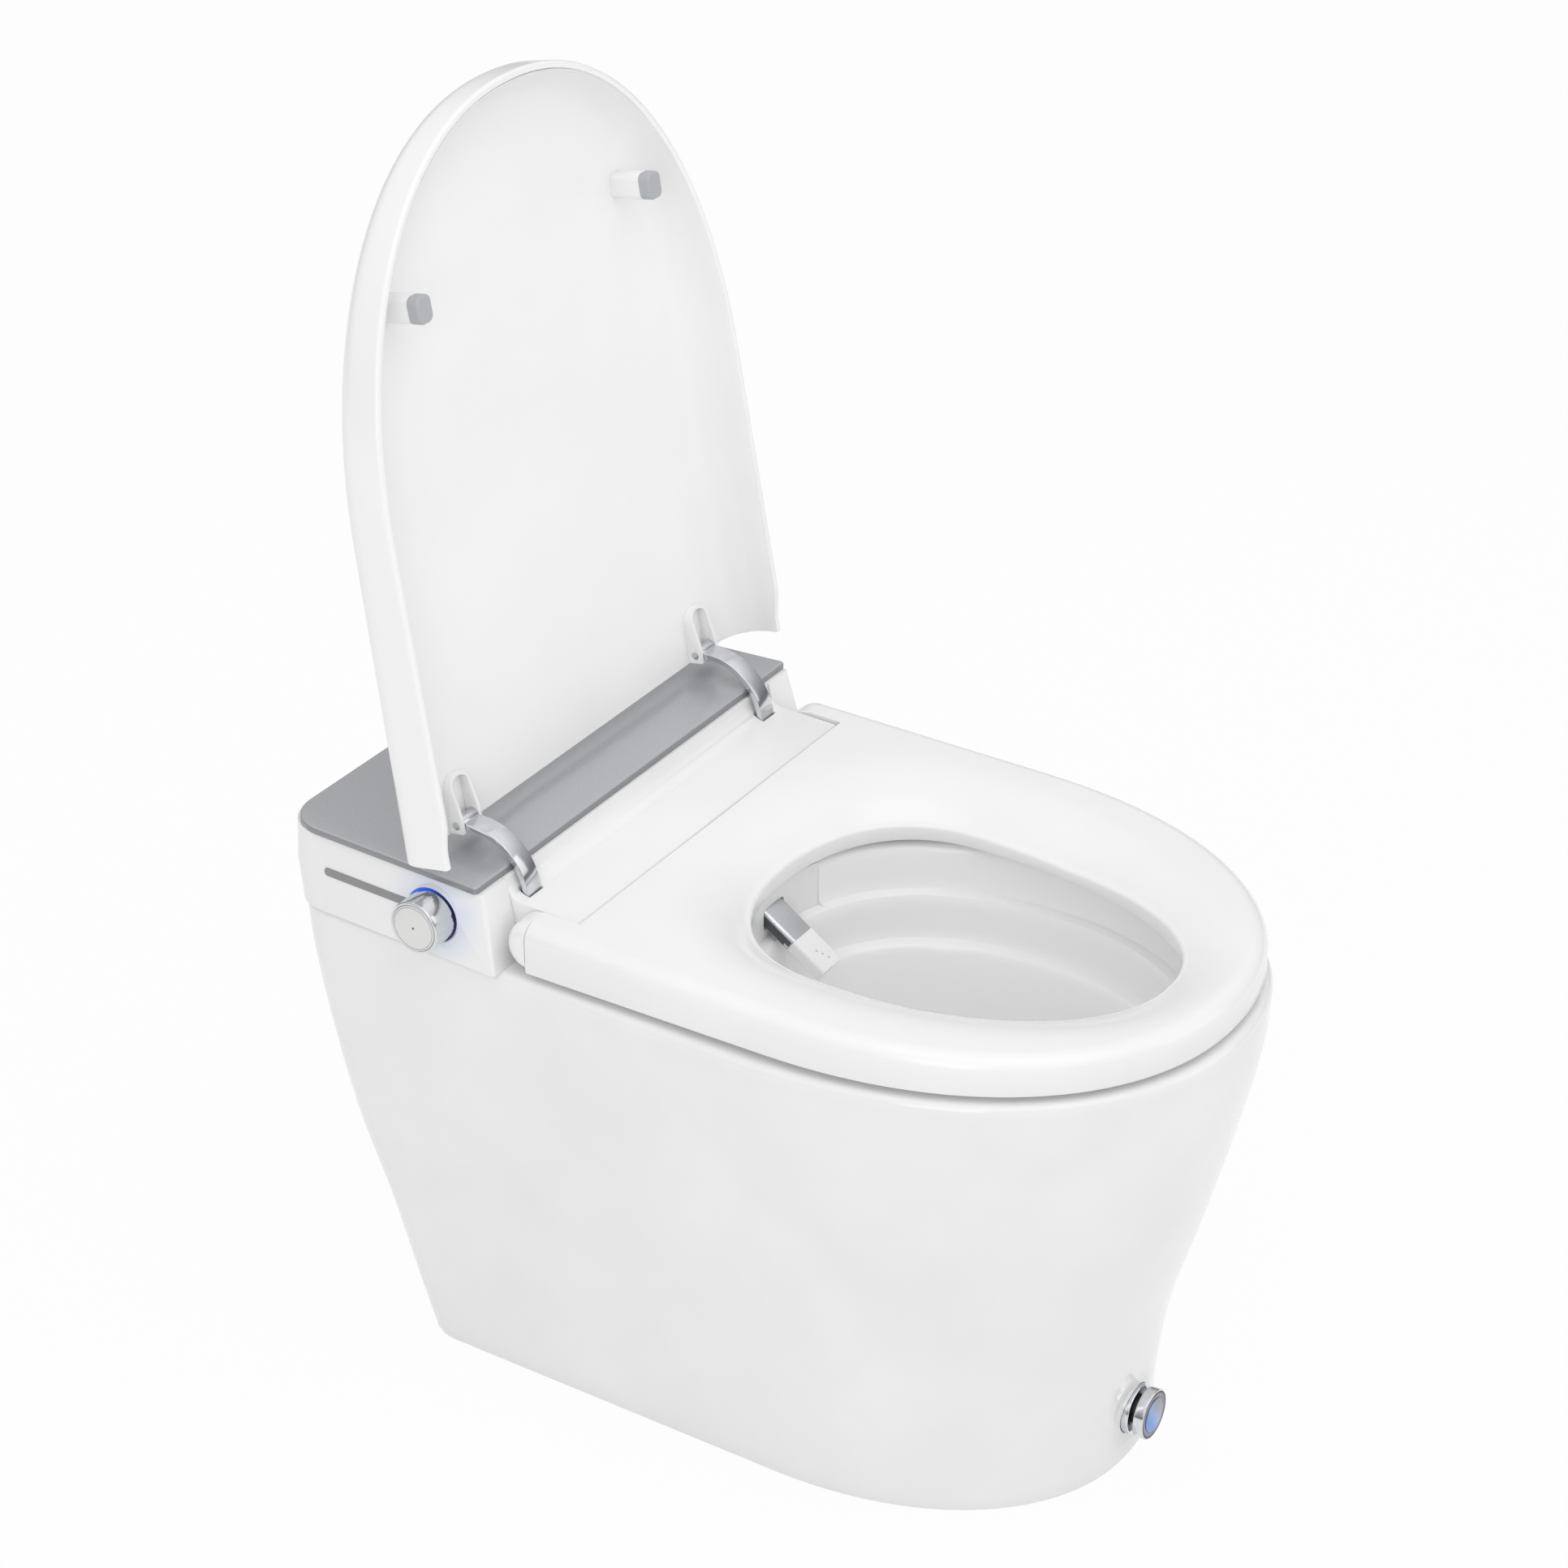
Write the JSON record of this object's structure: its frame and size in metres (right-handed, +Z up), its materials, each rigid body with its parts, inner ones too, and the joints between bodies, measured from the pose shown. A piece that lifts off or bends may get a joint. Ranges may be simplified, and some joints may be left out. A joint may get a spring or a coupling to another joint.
{
  "type": "smart toilet",
  "caption": "Floor-standing one-piece smart toilet with a heated bidet seat, soft-close lid on bent metal hinge arms, retractable spray wand, side control knob and foot flush button.",
  "frame": {"origin": "centre of the waste outlet at floor level, 305 mm ahead of the finished wall", "axes": "+Z up; the user sits facing -Y, with the wall at +Y; +X is on the sitting user's left, and the control knob is on -X, the sitting user's right"},
  "size_m": [0.4341, 0.6655, 0.9387],
  "materials": {
    "ceramic_white": "glossy white glaze",
    "black_rubber": "matt black rubber",
    "abs_inner": "plain grey moulding",
    "screw_steel": "zinc plated",
    "abs_white": "glossy white moulding",
    "abs_grey_gloss": "glossy grey inlay",
    "panel_grey": "satin grey moulding",
    "hinge_chrome": "polished chrome plate",
    "pin_steel": "ground steel",
    "lid_white": "glossy white urea moulding",
    "grey_rubber": "soft grey rubber",
    "seat_white": "glossy white moulding",
    "heater_film": "foil",
    "wand_steel": "satin stainless steel",
    "tip_white": "glossy white moulding",
    "gear_acetal": "natural acetal",
    "motor_can": "plated steel can",
    "light_blue": "lit translucent blue",
    "knob_steel": "spun metal face",
    "black_plastic": "matt black moulding",
    "lens_blue": "translucent blue lens",
    "inlet_brass": "turned brass",
    "board_green": "solder mask green"
  },
  "bodies": {
    "base": {"pan": "ceramic_white", "outlet_seal": "black_rubber", "chassis": "abs_inner", "chassis_screws": "screw_steel", "housing": "abs_white", "side_strip": "abs_grey_gloss", "top_panel": "panel_grey", "hinge_cover": "abs_white", "hinge_arm_left": "hinge_chrome", "hinge_arm_right": "hinge_chrome", "arm_screws": "screw_steel", "seat_pins": "pin_steel", "wand_guide": "abs_inner", "wand_shield": "abs_white", "wand_motor": "motor_can", "led_ring": "light_blue", "knob_encoder": "black_plastic", "foot_collar": "hinge_chrome", "foot_switch": "black_plastic", "flush_tank": "abs_inner", "flush_pump": "black_plastic", "water_heater": "motor_can", "dryer_blower": "black_plastic", "inlet_valve": "abs_inner", "inlet_connector": "inlet_brass", "power_gland": "black_plastic", "control_board": "board_green"},
    "lid": {"lid_shell": "lid_white", "lid_liner": "lid_white", "lid_lugs": "lid_white", "lid_hinge_pins": "pin_steel", "lid_buffer_posts": "lid_white", "lid_buffer_caps": "grey_rubber"},
    "seat": {"seat_top": "seat_white", "seat_base": "seat_white", "seat_heater": "heater_film", "seat_pads": "grey_rubber"},
    "wand": {"spray_wand": "wand_steel", "wand_tip": "tip_white"},
    "pinion": {"wand_pinion": "gear_acetal"},
    "knob": {"knob_barrel": "hinge_chrome"},
    "knob_button": {"knob_face": "knob_steel"},
    "foot_button": {"foot_plunger": "black_plastic", "foot_cap": "hinge_chrome", "foot_lens": "lens_blue"}
  },
  "joints": [
    {"name": "lid_hinge", "type": "hinge", "parent": "base", "child": "lid", "pos_m": [0, 0.1627, 0.4581], "axis": [1, 0, 0], "range_deg": [0, 101.2]},
    {"name": "seat_hinge", "type": "hinge", "parent": "base", "child": "seat", "pos_m": [0, 0.0845, 0.4005], "axis": [1, 0, 0], "range_deg": [-93, 0]},
    {"name": "wand_slide", "type": "slide", "parent": "base", "child": "wand", "axis": [0, -0.829, -0.5592], "range_m": [-0.05, 0]},
    {"name": "pinion_spin", "type": "hinge", "parent": "base", "child": "pinion", "pos_m": [0, 0.03916, 0.36314], "axis": [1, 0, 0], "range_deg": [-477.5, 0]},
    {"name": "knob_turn", "type": "hinge", "parent": "base", "child": "knob", "pos_m": [-0.2, 0.158, 0.4085], "axis": [-1, 0, 0], "range_deg": [-40, 40], "stiffness_Nm_per_rad": 0.05},
    {"name": "knob_press", "type": "slide", "parent": "knob", "child": "knob_button", "axis": [1, 0, 0], "range_m": [0, 0.002], "stiffness_N_per_m": 600, "springref_m": -0.001},
    {"name": "foot_press", "type": "slide", "parent": "base", "child": "foot_button", "axis": [0, 1, 0], "range_m": [0, 0.003], "stiffness_N_per_m": 900, "springref_m": -0.001}
  ],
  "couplings": [
    {"joint": "pinion_spin", "follows": "wand_slide", "rad_per_m": 166.67}
  ]
}
